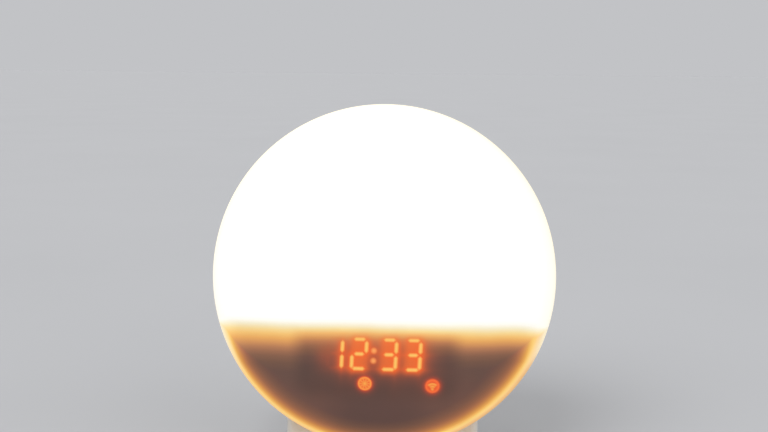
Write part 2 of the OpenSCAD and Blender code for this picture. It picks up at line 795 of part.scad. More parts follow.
module unlit_segments() {
    color("dimgray") on_display() translate([0, 0, -guide_depth]) linear_extrude(guide_depth) segments(0, 0);
}
lens_t = 2.4;
module icon_lenses() {
    color("orangered") on_display() at_icons() rod(icon_d, -lens_t, 0);
}
board_front = -display_depth;
module display_board() {
    color("darkgreen") on_display() difference() {
        translate([0, 0, board_front - board_t]) linear_extrude(board_t)
            square([display_w, display_h], center = true);
        at_display_screws() rod(board_screw_d, board_front - board_t - 1, board_front + 1);
        for (side = [-1, 1]) translate([side * shroud_post_x, 0])
            rod(pin_d + screw_fit, board_front - board_t - 1, board_front + 1);
    }
}
chip_t = 1;
segment_chip = 1.2;
icon_chip = 2;
module display_chips() {
    color("khaki") on_display() translate([0, 0, board_front + chip_t / 2]) {
        for (d = [0 : 3], s = [0 : 6])
            translate([digit_x(d) + SEGMENTS[s][0] * (digit_w - segment_w) / 2 + lean(SEGMENTS[s][1]),
                       digit_rise + SEGMENTS[s][1]])
                cube([segment_chip, segment_chip, chip_t], center = true);
        at_icons() cube([icon_chip, 0.8 * icon_chip, chip_t], center = true);
    }
}
module display_screws() {
    color("silver") on_display() at_display_screws() translate([0, 0, board_front - board_t])
        mirror([0, 0, 1]) screw(display_screw_d, board_t + display_grip);
}

// Main board, parallel to the back, with the ports on its rear face
module main_board() {
    color("darkgreen") face_frame() difference() {
        translate([-main_w / 2, main_y - main_h / 2, main_z - board_t]) cube([main_w, main_h, board_t]);
        at_main_holes() rod(board_screw_d + 2 * screw_fit, main_z - board_t - 1, main_z + 1);
    }
}
module main_board_screws() {
    color("silver") face_frame() at_main_holes() translate([0, 0, main_z])
        screw(board_screw_d, board_t + pilot_depth - 2);
}
board_chip_t = 1.4;
// Chips on the main board: place, width and height
CHIPS = [[-14, 4, 10, 10], [0, 6, 7, 5], [-16, -8, 6, 6], [-4, -16, 5, 6]];
module board_chips() {
    color("black") face_frame() for (c = CHIPS)
        translate([c[0] - c[2] / 2, main_y + c[1] - c[3] / 2, main_z]) cube([c[2], c[3], board_chip_t]);
}
// Capacitors on the main board: place, diameter and height
CAPACITORS = [[-25, -4, 6, 9], [-25, -11, 5, 7], [4, 17, 5, 7]];
module board_capacitors() {
    color("black") face_frame() for (c = CAPACITORS)
        translate([c[0], main_y + c[1]]) rod(c[2], main_z, main_z + c[3]);
}
// Middle of each connector's front face, where its ribbon or lead ends
connector_h = 4;
connector_w = 4;
lead_plug_len = 8;
key_plug_len = 9;
connector_top = main_z + connector_h;
led_plug_y = main_y + main_h / 2 - hole_inset;
led_plug_x = -10;
speaker_plug_x = 17;
key_plug_rise = 9;
key_plug_x = main_w / 2 - hole_inset;
key_plug_y = main_y + key_plug_rise;
module board_connectors() {
    color("ivory") face_frame() {
        for (x = [led_plug_x, speaker_plug_x]) translate([x, led_plug_y, main_z + connector_h / 2])
            cube([lead_plug_len, connector_w, connector_h], center = true);
        for (side = [-1, 1]) translate([side * key_plug_x, key_plug_y, main_z + connector_h / 2])
            cube([connector_w, key_plug_len, connector_h], center = true);
        translate([display_x, display_ribbon_y, main_z + connector_h / 2])
            cube([ribbon_w + 2, connector_w, connector_h], center = true);
    }
}
cell_x = 16.5;
cell_y = main_y - main_drop;
holder_wall = 1.2;
holder_gap = 0.2;
holder_floor = 0.8;
thumb_w = 6;
module coin_cell_holder() {
    color("dimgray") face_frame() translate([cell_x, cell_y]) difference() {
        rod(cell_d + 2 * (holder_wall + holder_gap), main_z, main_z + cell_t);
        rod(cell_d + 2 * holder_gap, main_z + holder_floor, main_z + holder_floor + cell_t + 1);
        translate([-thumb_w / 2, -cell_d, main_z + holder_floor]) cube([thumb_w, cell_d, cell_t + 1]);
    }
}
module coin_cell() {
    color("silver") face_frame() translate([cell_x, cell_y, main_z + holder_floor]) rod(cell_d, 0, cell_t);
}

// Speaker, facing back through the grille
flange_t = 1.5;
ear_grip = 3.5;
flange_z = speaker_seat_z + flange_t;
magnet_r = 14;
magnet_t = 7;
cone_inset = 4;
cone_r = speaker_d / 2 - cone_inset;
basket_t = 1;
basket_top = speaker_seat_z + speaker_depth - magnet_t;
module at_speaker() {
    face_frame() translate([0, speaker_rise]) children();
}
module speaker_basket() {
    color("dimgray") at_speaker() difference() {
        union() {
            rod(speaker_d, speaker_seat_z, flange_z);
            for (a = ear_angles) rotate(a) translate([speaker_ear_r, 0])
                rod(boss_d + 1, speaker_seat_z, flange_z);
            translate([0, 0, speaker_seat_z]) cylinder(r1 = cone_r + basket_t, r2 = magnet_r - 1,
                                                       h = basket_top - speaker_seat_z);
        }
        translate([0, 0, speaker_seat_z - eps]) cylinder(r1 = cone_r, r2 = magnet_r - 2,
                                                         h = basket_top - speaker_seat_z - basket_t);
        for (a = ear_angles) rotate(a) translate([speaker_ear_r, 0])
            rod(board_screw_d + 2 * screw_fit, speaker_seat_z - 1, flange_z + 1);
    }
}
// The cone's section, as distances from the axis and heights above its seat, with distances from
// the cone's edge for the surround
CAP = [[0, 4.4], [2, 4.4], [6, 3], [7, 4.6]];
CAP_BACK = [[7, 5.4], [2, 5.2], [0, 5.2]];
SURROUND = [[-4, 0.8], [-2, 0.1], [-0.4, 0.1], [-1.4, 0.7], [-4.4, 1.5]];
module speaker_cone() {
    color("black") at_speaker() translate([0, 0, speaker_seat_z]) rotate_extrude()
        polygon(concat(CAP, [for (p = SURROUND) [cone_r + p[0], p[1]]], CAP_BACK));
}
module speaker_magnet() {
    color("gray") at_speaker() rod(2 * magnet_r, basket_top, basket_top + magnet_t);
}
module speaker_gasket() {
    color("black") at_speaker() tube(speaker_d / 2 - 0.6, cone_r + 0.6, back_inner_z, speaker_seat_z);
}
module speaker_screws() {
    color("silver") face_frame() at_speaker_ears() translate([0, 0, flange_z])
        screw(board_screw_d, flange_t + ear_grip);
}

// Ports: they stand on the main board's rear face and reach the floor of the recess
port_front = main_z - board_t;
port_back = back_z + port_recess;
dc_depth = 9.5;
dc_pin_d = 2;
tip_inset = 0.8;
tongue_t = 1.8;
module dc_jack() {
    color("black") face_frame() translate([-port_x, -port_drop]) difference() {
        rod(dc_body_d, port_back, port_front);
        rod(dc_bore_d, port_back - 1, port_back + dc_depth);
    }
}
module dc_jack_pin() {
    color("gold") face_frame() translate([-port_x, -port_drop])
        rod(dc_pin_d, port_back + tip_inset, port_back + dc_depth);
}
usb_wall = 0.5;
module usb_socket() {
    color("silver") face_frame() translate([port_x, -port_drop, port_back]) difference() {
        linear_extrude(port_front - port_back) square([usb_w, usb_h], center = true);
        translate([0, 0, -1]) linear_extrude(port_front - port_back - 1)
            square([usb_w - 2 * usb_wall, usb_h - 2 * usb_wall], center = true);
    }
}
module usb_tongue() {
    color("white") face_frame() translate([port_x, -port_drop + 1, port_back + tip_inset])
        linear_extrude(port_front - port_back - tip_inset - 2)
            square([usb_w - 2 * usb_wall - 2, tongue_t], center = true);
}

// Keys on the sides of the ring, each with a rim behind the ring's wall and a stem for its switch
switch_w = 6;
plunger_d = 3.4;
stem_d = 3.6;
module key_switches() {
    color("dimgray") face_frame() for (side = [0, 180], y = key_row()) rotate(side)
        translate([key_board_x, y, key_z]) rotate([0, 90, 0]) {
            translate([0, 0, switch_h / 2]) cube([switch_w, switch_w, switch_h], center = true);
            rod(plunger_d, switch_h - eps, switch_h + plunger_h);
        }
}
module key_board() {
    translate([key_board_x - board_t, -key_board_len / 2 + screw_fit, web_z])
        cube([board_t, key_board_len - 2 * screw_fit, key_board_h]);
}
module key_board_right() {
    color("darkgreen") face_frame() key_board();
}
module key_board_left() {
    color("darkgreen") face_frame() rotate(180) key_board();
}
module key_band(r_out, grow, y) {
    intersection() {
        difference() {
            rod(2 * r_out, -ring_depth, 0);
            rod(2 * (rim_r - key_rim_t), -ring_depth - 1, 1);
        }
        translate([ring_r / 2, y, key_z]) rotate([90, 0, 90])
            linear_extrude(lamp_r) pill(key_len + 2 * grow, key_w + 2 * grow);
    }
}
module key(side, row) {
    y = key_row()[row];
    color("gainsboro") face_frame() rotate(side == 1 ? 0 : 180) {
        key_band(lamp_r + key_proud, 0, y);
        key_band(rim_r, key_rim_w, y);
        translate([0, y, key_z]) rotate([0, 90, 0])
            rod(stem_d, stem_end, sqrt(pow(rim_r - key_rim_t / 2, 2) - pow(abs(y) + stem_d / 2, 2)));
    }
}
module key_snooze() key(-1, 0);
module key_radio() key(-1, 1);
module key_sound() key(-1, 2);
module key_volume() key(-1, 3);
module key_light() key(1, 3);
module key_colour() key(1, 2);
module key_alarm() key(1, 1);
module key_time() key(1, 0);

// Flat ribbons and leads: the outline of a bent strip with mitred corners
function heading(path, k) = let (a = path[k], b = path[k + 1]) (b - a) / norm(b - a);
function edge(path, h) = [for (k = [0 : len(path) - 1])
    let (before = heading(path, max(k - 1, 0)), after = heading(path, min(k, len(path) - 2)),
         out = [-(before + after)[1], (before + after)[0]])
        path[k] + out * h / (out * [-before[1], before[0]])];
module strip(path, t) {
    back = edge(path, -t / 2);
    polygon(concat(edge(path, t / 2), [for (k = [len(path) - 1 : -1 : 0]) back[k]]));
}
ribbon_gap = 0.05;
lead_w = 8;
speaker_lead_w = 4;
speaker_lead_t = 1.2;
key_ribbon_w = 6;
ribbon_pass_x = sqrt(pow(web_inner_r, 2) - pow(abs(key_plug_y) + key_ribbon_w / 2, 2)) - 2;
module display_ribbon() {
    plug_z = display_z - (display_depth + board_t) * cos(display_tilt) - 3;
    color("lightgray") face_frame() translate([display_x - ribbon_w / 2, 0, 0]) rotate([90, 0, 90])
        linear_extrude(ribbon_w)
            strip([[display_ribbon_y, plug_z], [display_ribbon_y, connector_top]], ribbon_t);
}
module led_lead() {
    color("lightgray") face_frame() translate([led_plug_x - lead_w / 2, 0, 0]) rotate([90, 0, 90])
        linear_extrude(lead_w)
            strip([[led_plug_y, bowl_floor_z - reflector_t - 1], [led_plug_y, connector_top + ribbon_gap]],
                  ribbon_t);
}
module speaker_lead() {
    color("dimgray") face_frame() translate([speaker_plug_x - speaker_lead_w / 2, 0, 0])
        rotate([90, 0, 90]) linear_extrude(speaker_lead_w)
            strip([[led_plug_y, connector_top + ribbon_gap], [led_plug_y, connector_top + 3],
                   [speaker_rise - magnet_r + 2, basket_top + 3]], speaker_lead_t);
}
module key_ribbon(side) {
    translate([0, key_plug_y + key_ribbon_w / 2, 0]) rotate([90, 0, 0]) linear_extrude(key_ribbon_w)
        strip([[side * (key_board_x - board_t - ribbon_t), key_z + 1],
               [side * ribbon_pass_x, web_z + 2],
               [side * ribbon_pass_x, web_z - web_t - 3],
               [side * key_plug_x, connector_top + 4],
               [side * key_plug_x, connector_top + ribbon_gap]], ribbon_t);
}
module key_ribbons() {
    color("lightgray") face_frame() for (side = [-1, 1]) key_ribbon(side);
}

// The clock's origin is the middle of its box, at the foot's resting plane
front_reach = max([for (p = dome_profile(0)) p[0] * sin(face_tilt) + p[1] * cos(face_tilt)]);
back_reach = max([for (p = rear_profile(0)) p[0] * sin(face_tilt) - p[1] * cos(face_tilt)]);
module placed() {
    translate([0, (front_reach - back_reach) / 2, 0]) children();
}

placed() diffuser_dome();
placed() side_ring();
placed() rear_housing();
placed() foot_shell();
placed() base_plate();
placed() rubber_feet();
placed() base_screws();
placed() foot_screws();
placed() rear_screws();
placed() reflector();
placed() reflector_screws();
placed() led_board();
placed() led_chips();
placed() led_board_screws();
placed() display_shroud();
placed() display_frame();
placed() lit_segments();
placed() unlit_segments();
placed() icon_lenses();
placed() display_board();
placed() display_chips();
placed() display_screws();
placed() main_board();
placed() main_board_screws();
placed() board_chips();
placed() board_capacitors();
placed() board_connectors();
placed() coin_cell_holder();
placed() coin_cell();
placed() speaker_basket();
placed() speaker_cone();
placed() speaker_magnet();
placed() speaker_gasket();
placed() speaker_screws();
placed() dc_jack();
placed() dc_jack_pin();
placed() usb_socket();
placed() usb_tongue();
placed() key_board_left();
placed() key_board_right();
placed() key_switches();
placed() key_snooze();
placed() key_radio();
placed() key_sound();
placed() key_volume();
placed() key_light();
placed() key_colour();
placed() key_alarm();
placed() key_time();
placed() display_ribbon();
placed() key_ribbons();
placed() led_lead();
placed() speaker_lead();
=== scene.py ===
import json
import math

import bmesh
import bpy
import numpy as np
from mathutils import Matrix, Vector

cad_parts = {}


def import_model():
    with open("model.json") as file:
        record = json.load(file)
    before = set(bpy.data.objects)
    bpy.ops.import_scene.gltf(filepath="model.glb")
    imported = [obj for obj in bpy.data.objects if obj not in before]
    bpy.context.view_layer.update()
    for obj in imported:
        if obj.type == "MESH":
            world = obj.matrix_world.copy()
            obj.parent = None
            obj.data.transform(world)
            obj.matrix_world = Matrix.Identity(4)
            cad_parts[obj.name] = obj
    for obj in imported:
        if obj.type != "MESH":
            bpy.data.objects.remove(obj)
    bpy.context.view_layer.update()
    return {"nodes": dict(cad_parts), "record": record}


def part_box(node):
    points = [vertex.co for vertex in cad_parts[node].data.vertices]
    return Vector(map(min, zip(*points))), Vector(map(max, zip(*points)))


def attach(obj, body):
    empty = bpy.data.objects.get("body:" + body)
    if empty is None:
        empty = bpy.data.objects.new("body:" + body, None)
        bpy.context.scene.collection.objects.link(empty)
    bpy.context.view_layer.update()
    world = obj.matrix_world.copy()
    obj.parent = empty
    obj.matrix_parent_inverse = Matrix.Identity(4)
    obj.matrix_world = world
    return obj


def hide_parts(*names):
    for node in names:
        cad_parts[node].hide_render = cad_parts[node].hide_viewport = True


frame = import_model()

MM = 0.001
TILT = math.radians(8)

# ---------------------------------------------------------------- the face frame
# x to the right, y up the face and z out to the front, in mm, with z = 0 where the dome meets the ring
ring_low, ring_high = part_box("side_ring")
LAMP_R = 86.0
CENTRE_Z = ring_high[2] / MM - LAMP_R * math.cos(TILT)
CENTRE_Y = ring_low[1] / MM + LAMP_R * math.sin(TILT)


def world(x, y, z):
    """A point of the face frame, in metres in the row frame."""
    return Vector((
        x,
        y * math.sin(TILT) - z * math.cos(TILT) + CENTRE_Y,
        y * math.cos(TILT) + z * math.sin(TILT) + CENTRE_Z,
    )) * MM


DOME_DEPTH, DOME_POWER, DOME_WALL = 40.0, 2.6, 2.2
LIP_R, LIP_INNER_R, LIP_DEPTH = 83.6, 81.6, 2.5


def dome_height(r, inset=0.0):
    """How far the dome stands out at a distance from its axis. An inset gives its inner side."""
    share = np.clip(1 - (np.asarray(r, float) / (LAMP_R - inset)) ** DOME_POWER, 0, None)
    return (DOME_DEPTH - inset) * share ** (1 / DOME_POWER)


def around(cx, cy, r, a):
    """The point at angle a of a circle."""
    return cx + r * math.cos(a), cy + r * math.sin(a)


def new_object(name, points, faces):
    mesh = bpy.data.meshes.new(name)
    mesh.from_pydata(points, [], faces)
    thing = bpy.data.objects.new(name, mesh)
    bpy.context.scene.collection.objects.link(thing)
    return thing


# ---------------------------------------------------------------- node helpers
def srgb(*c):
    """Linear RGBA of an 8-bit colour."""
    return tuple((v / 255 / 12.92) if v / 255 <= 0.04045 else ((v / 255 + 0.055) / 1.055) ** 2.4
                 for v in c) + (1.0,)


def toned(colour, by, lift=0.0):
    """A colour made deeper or paler."""
    return tuple(min(1.0, c * by + lift) for c in colour[:3]) + (1.0,)


class Tree:
    """A material's nodes, made and linked in one call each."""

    INPUTS = {"base": "Base Color", "rough": "Roughness", "metal": "Metallic", "spec": "Specular IOR Level",
              "normal": "Normal", "sheen": "Sheen Weight", "emit": "Emission Color",
              "strength": "Emission Strength"}

    def __init__(self, name):
        self.material = bpy.data.materials.new(name)
        self.material.use_nodes = True
        self.tree = self.material.node_tree
        self.tree.nodes.clear()
        self.out = self.tree.nodes.new("ShaderNodeOutputMaterial")
        self.shader = self.tree.nodes.new("ShaderNodeBsdfPrincipled")
        self.tree.links.new(self.shader.outputs[0], self.out.inputs[0])

    def node(self, kind, inputs=(), **settings):
        n = self.tree.nodes.new("ShaderNode" + kind)
        for k, v in settings.items():
            setattr(n, k, v)
        for k, v in dict(inputs).items():
            self.put(n.inputs[k], v)
        return n

    def put(self, socket, value):
        if isinstance(value, bpy.types.NodeSocket):
            self.tree.links.new(value, socket)
        else:
            socket.default_value = value

    def math(self, op, a, b):
        return self.node("Math", {0: a, 1: b}, operation=op).outputs[0]

    def range(self, value, from_low, from_high, to_low=0.0, to_high=1.0, smooth=False):
        n = self.node("MapRange", {"Value": value, "From Min": from_low, "From Max": from_high,
                                   "To Min": to_low, "To Max": to_high}, clamp=True)
        if smooth:
            n.interpolation_type = "SMOOTHSTEP"
        return n.outputs["Result"]

    def spread(self, noise, low=0.0, high=1.0):
        """The values that a noise mostly has, laid out from low to high."""
        return self.range(noise, 0.3, 0.7, low, high)

    def mix(self, factor, a, b, how="MIX"):
        n = self.node("Mix", data_type="RGBA", blend_type=how)
        self.put(n.inputs["Factor"], factor)
        self.put(n.inputs[6], a)
        self.put(n.inputs[7], b)
        return n.outputs[2]

    def ramp(self, value, stops):
        """8-bit colours at values of a field, as (value, red, green, blue) from the lowest up."""
        low, high = stops[0][0], stops[-1][0]
        n = self.node("ValToRGB", {"Fac": self.range(value, low, high)})
        elements = n.color_ramp.elements
        while len(elements) > 1:
            elements.remove(elements[-1])
        for k, (at, *colour) in enumerate(stops):
            e = elements[0] if k == 0 else elements.new((at - low) / (high - low))
            e.position = (at - low) / (high - low)
            e.color = srgb(*colour)
        return n.outputs["Color"]

    def field(self, name):
        return self.node("Attribute", attribute_name=name).outputs["Fac"]

    def noise(self, scale, detail=3.0, rough=0.55, distort=0.0, stretch=None):
        at = self.node("TexCoord").outputs["Object"]
        if stretch:
            at = self.node("Mapping", {"Vector": at, "Scale": stretch}).outputs[0]
        return self.node("TexNoise", {"Vector": at, "Scale": scale, "Detail": detail, "Roughness": rough,
                                      "Distortion": distort}).outputs["Fac"]

    def bump(self, height, strength, distance):
        inputs = {"Height": height, "Strength": strength, "Distance": distance}
        return self.node("Bump", inputs).outputs["Normal"]

    def set(self, **values):
        for k, v in values.items():
            self.put(self.shader.inputs[self.INPUTS[k]], v)
        return self.material


def moulded(name, colour, rough, grain=2600, depth=0.00003, vary=0.05):
    """Spark-eroded moulded plastic: a fine grain, slow colour drift and handling marks in the gloss."""
    t = Tree(name)
    drift = t.noise(14, 2)
    fine = t.noise(grain, 2, 0.6)
    marks = t.noise(95, 5, 0.7, 0.6)
    deep = toned(colour, 1 - vary)
    base = t.mix(t.range(drift, 0.35, 0.65), deep, toned(colour, 1 + vary))
    base = t.mix(t.spread(fine, 0.0, 0.10), base, deep)
    gloss = t.math("ADD", t.spread(marks, rough - 0.05, rough + 0.06), t.spread(fine, -0.03, 0.03))
    return t.set(base=base, rough=gloss, spec=0.45, normal=t.bump(fine, 0.35, depth))


def metal(name, colour, rough=0.3, stretch=(1, 1, 12)):
    """Plated or drawn metal with fine lines and dulled patches."""
    t = Tree(name)
    lines = t.noise(900, 4, 0.7, stretch=stretch)
    dull = t.noise(160, 4, 0.6, 0.4)
    base = t.mix(t.range(dull, 0.35, 0.7, 0.0, 0.6), colour, toned(colour, 0.78))
    gloss = t.math("ADD", t.spread(dull, rough - 0.06, rough + 0.12), t.spread(lines, -0.05, 0.05))
    return t.set(base=base, rough=gloss, metal=1.0, normal=t.bump(lines, 0.4, 0.00001))


def fibrous(name, colour, rough, scale=2200, depth=0.00008, sheen=0.2):
    """Paper, foam or rubber: an uneven dull surface."""
    t = Tree(name)
    coarse = t.noise(scale, 6, 0.75, 0.3)
    patch = t.noise(140, 3)
    pale = toned(colour, 1.35, 0.01)
    base = t.mix(t.range(coarse, 0.35, 0.7), colour, pale)
    base = t.mix(t.range(patch, 0.4, 0.7, 0.0, 0.35), base, pale)
    return t.set(base=base, rough=t.spread(patch, rough - 0.06, rough + 0.06), spec=0.25, sheen=sheen,
                 normal=t.bump(coarse, 0.5, depth))


def circuit(name, mask, track):
    """Solder mask over copper tracks and pads."""
    t = Tree(name)
    at = t.node("TexCoord").outputs["Object"]
    cells = t.node("TexVoronoi", {"Vector": at, "Scale": 420.0}, feature="DISTANCE_TO_EDGE")
    tracks = t.range(cells.outputs["Distance"], 0.02, 0.06, 1.0, 0.0)
    fine = t.noise(1500, 3)
    base = t.mix(t.math("MULTIPLY", tracks, 0.55), mask, track)
    base = t.mix(t.spread(fine, 0.0, 0.2), base, toned(mask, 0.6))
    return t.set(base=base, rough=t.spread(fine, 0.32, 0.5), spec=0.5, normal=t.bump(tracks, 0.4, 0.00002))


def glowing(name, colour, deep, strength):
    """A lit light guide, its tint clouded between a deeper and a paler colour."""
    t = Tree(name)
    cloud = t.noise(700, 3)
    tint = t.mix(t.range(cloud, 0.35, 0.65), deep, colour)
    return t.set(base=tint, emit=tint, strength=strength, rough=t.spread(cloud, 0.3, 0.45), spec=0.5)


# ---------------------------------------------------------------- materials of the CAD nodes
by_slot = {
    "shell": moulded("shell_plastic", srgb(228, 225, 218), 0.46),
    "ring": moulded("ring_plastic", srgb(232, 229, 222), 0.40, grain=2900),
    "key": moulded("key_plastic", srgb(214, 211, 205), 0.34, grain=3600, depth=0.00001),
    "rubber": fibrous("foot_rubber", srgb(52, 52, 54), 0.8, 1800, 0.00005),
    "base": moulded("base_plastic", srgb(140, 139, 137), 0.55, grain=1600, depth=0.00005),
    "screw": metal("screw_steel", srgb(190, 190, 194)),
    "reflector": moulded("reflector_plastic", srgb(242, 241, 238), 0.55),
    "led_board": circuit("led_board_mask", srgb(236, 236, 230), srgb(205, 205, 196)),
    "board": circuit("board_mask", srgb(22, 92, 52), srgb(46, 132, 76)),
    "led": glowing("led_phosphor", srgb(250, 214, 110), srgb(236, 178, 70), 0.25),
    "shroud": moulded("shroud_plastic", srgb(176, 172, 166), 0.6),
    "black_plastic": moulded("black_plastic", srgb(38, 38, 40), 0.45, vary=0.12),
    "lit_segment": glowing("lit_guide", srgb(255, 178, 84), srgb(250, 118, 48), 0.6),
    "unlit_segment": moulded("unlit_guide", srgb(88, 70, 62), 0.3),
    "icon_lens": glowing("icon_tint", srgb(255, 132, 62), srgb(230, 84, 40), 0.4),
    "chip": moulded("chip_epoxy", srgb(46, 46, 48), 0.6, grain=5000),
    "capacitor": moulded("capacitor_sleeve", srgb(38, 44, 70), 0.3),
    "connector": moulded("connector_nylon", srgb(236, 230, 210), 0.4),
    "holder": moulded("holder_plastic", srgb(62, 62, 64), 0.5),
    "cell": metal("cell_steel", srgb(208, 208, 210), 0.24, stretch=(1, 1, 1)),
    "steel": metal("socket_steel", srgb(188, 188, 190)),
    "speaker_metal": moulded("speaker_paint", srgb(58, 58, 60), 0.4, grain=1400, depth=0.00004),
    "paper": fibrous("cone_paper", srgb(60, 60, 62), 0.9),
    "foam": fibrous("gasket_foam", srgb(48, 48, 50), 0.95, 1300, 0.00012),
    "magnet": fibrous("magnet_ferrite", srgb(96, 96, 100), 0.6, 1700, 0.00003, 0.0),
    "brass": metal("pin_brass", srgb(214, 184, 112), 0.25),
    "ribbon": moulded("ribbon_sleeve", srgb(190, 190, 188), 0.4),
}
slot_of = {part["node"]: part["material_slot"] for part in frame["record"]["subparts"]}
for name, thing in frame["nodes"].items():
    if slot_of.get(name) in by_slot:
        thing.data.materials.clear()
        thing.data.materials.append(by_slot[slot_of[name]])


# ---------------------------------------------------------------- the lit dome
# Digits and icons as they show on the dome's surface, in mm of the face frame
DIGIT_LEAN, ROW_DROP = math.tan(math.radians(3)), 0.007
DIGIT_TOP, DIGIT_FOOT = -27.55, -43.15
DIGIT_W, STROKE, LEVEL_SHARE = 8.15, 1.55, 0.95
# Level segments: upper, middle or lower, and half the length
LEVELS = {"a": (1, 2.62), "g": (0, 2.25), "d": (-1, 2.8)}
# Upright segments: right or left, height from the digit's middle, and half the length
UPRIGHTS = {"b": (1, 3.4, 2.7), "f": (-1, 3.4, 2.7), "c": (1, -3.76, 3.1), "e": (-1, -3.76, 3.1)}
DIGITS = [(-20.83, "bc"), (-9.46, "abged"), (4.58, "abgcd"), (15.95, "abgcd")]
COLON_X, COLON_MID, COLON_Y, COLON_R = -2.6, -36.0, (-33.6, -38.4), 1.1
ICONS = [(-6.73, -49.5, "wheel"), (25.2, -50.25, "waves")]
ICON_R = 3.35
HUB_R, SPOKE_IN, SPOKE_OUT, SPOKE_HALF, WHEEL_R, WHEEL_HALF = 0.75, 0.7, 2.3, 0.2, 2.85, 0.25
WAVES_FOOT, WAVE_RADII, WAVE_HALF, WAVE_SPREAD, DOT_R = -1.5, (1.3, 2.5), 0.4, math.radians(46), 0.55
BAFFLE_Y = -24.6
# Strength and reach of the glow close to a stroke and further off, and how it weakens below the digits
NEAR_GLOW, FAR_GLOW, GLOW_CUT, CUT_REACH = (0.74, 1.05), (0.31, 2.7), 0.33, 3.5
# The same for the colon, and how far an icon's deeper core lies inside its disc
COLON_GLOW, COLON_REACH, CORE_INSET = 0.4, 1.2, 0.95
# Light that leaks out to the left of the digits, and painted shade that darkens the lowest part of the face
LEAK, LEAK_SPOT, SHADE_SPOT = 0.13, (-26, -36, 4, 6.5, 2), (-1, -65, 22, 10, 4)
# A glowing cell round each of the last three digits, and the painted shadow of the dark display block:
# centre, half sizes, corner
CELL_Y, CELL_SIZE = -35.4, (3.8, 7.8, 2.0)
BLOCK_SHADOW = (-1.3, -20.0, 38.0, 36.0, 8.0)
GHOST_X, GHOST_REACH = -1.0, 34


def capsule(x, y, x0, y0, x1, y1, half):
    """Distance to a straight stroke with round ends; below zero inside."""
    dx, dy = x1 - x0, y1 - y0
    t = np.clip(((x - x0) * dx + (y - y0) * dy) / (dx * dx + dy * dy), 0, 1)
    return np.hypot(x - x0 - t * dx, y - y0 - t * dy) - half


def box(x, y, cx, cy, hx, hy, r):
    """Distance to a rectangle with round corners; below zero inside."""
    qx, qy = np.abs(x - cx) - hx + r, np.abs(y - cy) - hy + r
    return np.hypot(np.maximum(qx, 0), np.maximum(qy, 0)) + np.minimum(np.maximum(qx, qy), 0) - r


def bar(along, across, reach, half):
    """Distance to a bar with pointed ends; below zero inside."""
    return np.maximum(np.abs(across) - half, (np.abs(along) + np.abs(across) - reach) * math.sqrt(0.5))


def digit_strokes(x, y, cx, names):
    """Distances to the named segments of one digit."""
    half = STROKE / 2
    v = y - (DIGIT_TOP + DIGIT_FOOT) / 2 + x * ROW_DROP
    u = x - cx - v * DIGIT_LEAN
    side, top = DIGIT_W / 2 - half, (DIGIT_TOP - DIGIT_FOOT) / 2 - half
    found = [bar(u, v - top * LEVELS[n][0], LEVELS[n][1], half * LEVEL_SHARE) for n in names if n in LEVELS]
    for n in names:
        if n in UPRIGHTS:
            hand, height, reach = UPRIGHTS[n]
            found.append(bar(v - height, u - hand * side, reach, half))
    return found


def icon_lines(u, v, kind):
    """Distance to the lines of an icon, from its own centre."""
    if kind == "wheel":
        spokes = [capsule(u, v, *around(0, 0, SPOKE_IN, a), *around(0, 0, SPOKE_OUT, a), SPOKE_HALF)
                  for a in [math.pi * k / 5 for k in range(10)]]
        out = np.hypot(u, v)
        return np.minimum.reduce(spokes + [out - HUB_R, np.abs(out - WHEEL_R) - WHEEL_HALF])
    r, a = np.hypot(u, v - WAVES_FOOT), np.arctan2(u, v - WAVES_FOOT)
    beside = (np.abs(a) - WAVE_SPREAD) * np.maximum(r, 0.2)
    waves = [np.maximum(np.abs(r - q) - WAVE_HALF, beside) for q in WAVE_RADII]
    return np.minimum.reduce(waves + [r - DOT_R])


def edge(d, soft):
    """1 inside an outline and 0 outside it, with a soft border."""
    return np.clip(0.5 - d / soft, 0, 1)


def fade(d, reach):
    """1 inside an outline, and less and less outside it."""
    return np.exp(-np.maximum(d, 0) / reach)


def smooth(v):
    return v * v * (3 - 2 * v)


def spot(x, y, cx, cy, rx, ry, power):
    """A soft spot. A higher power gives it a flatter middle."""
    return np.exp(-((x - cx) / rx) ** power - ((y - cy) / ry) ** power)


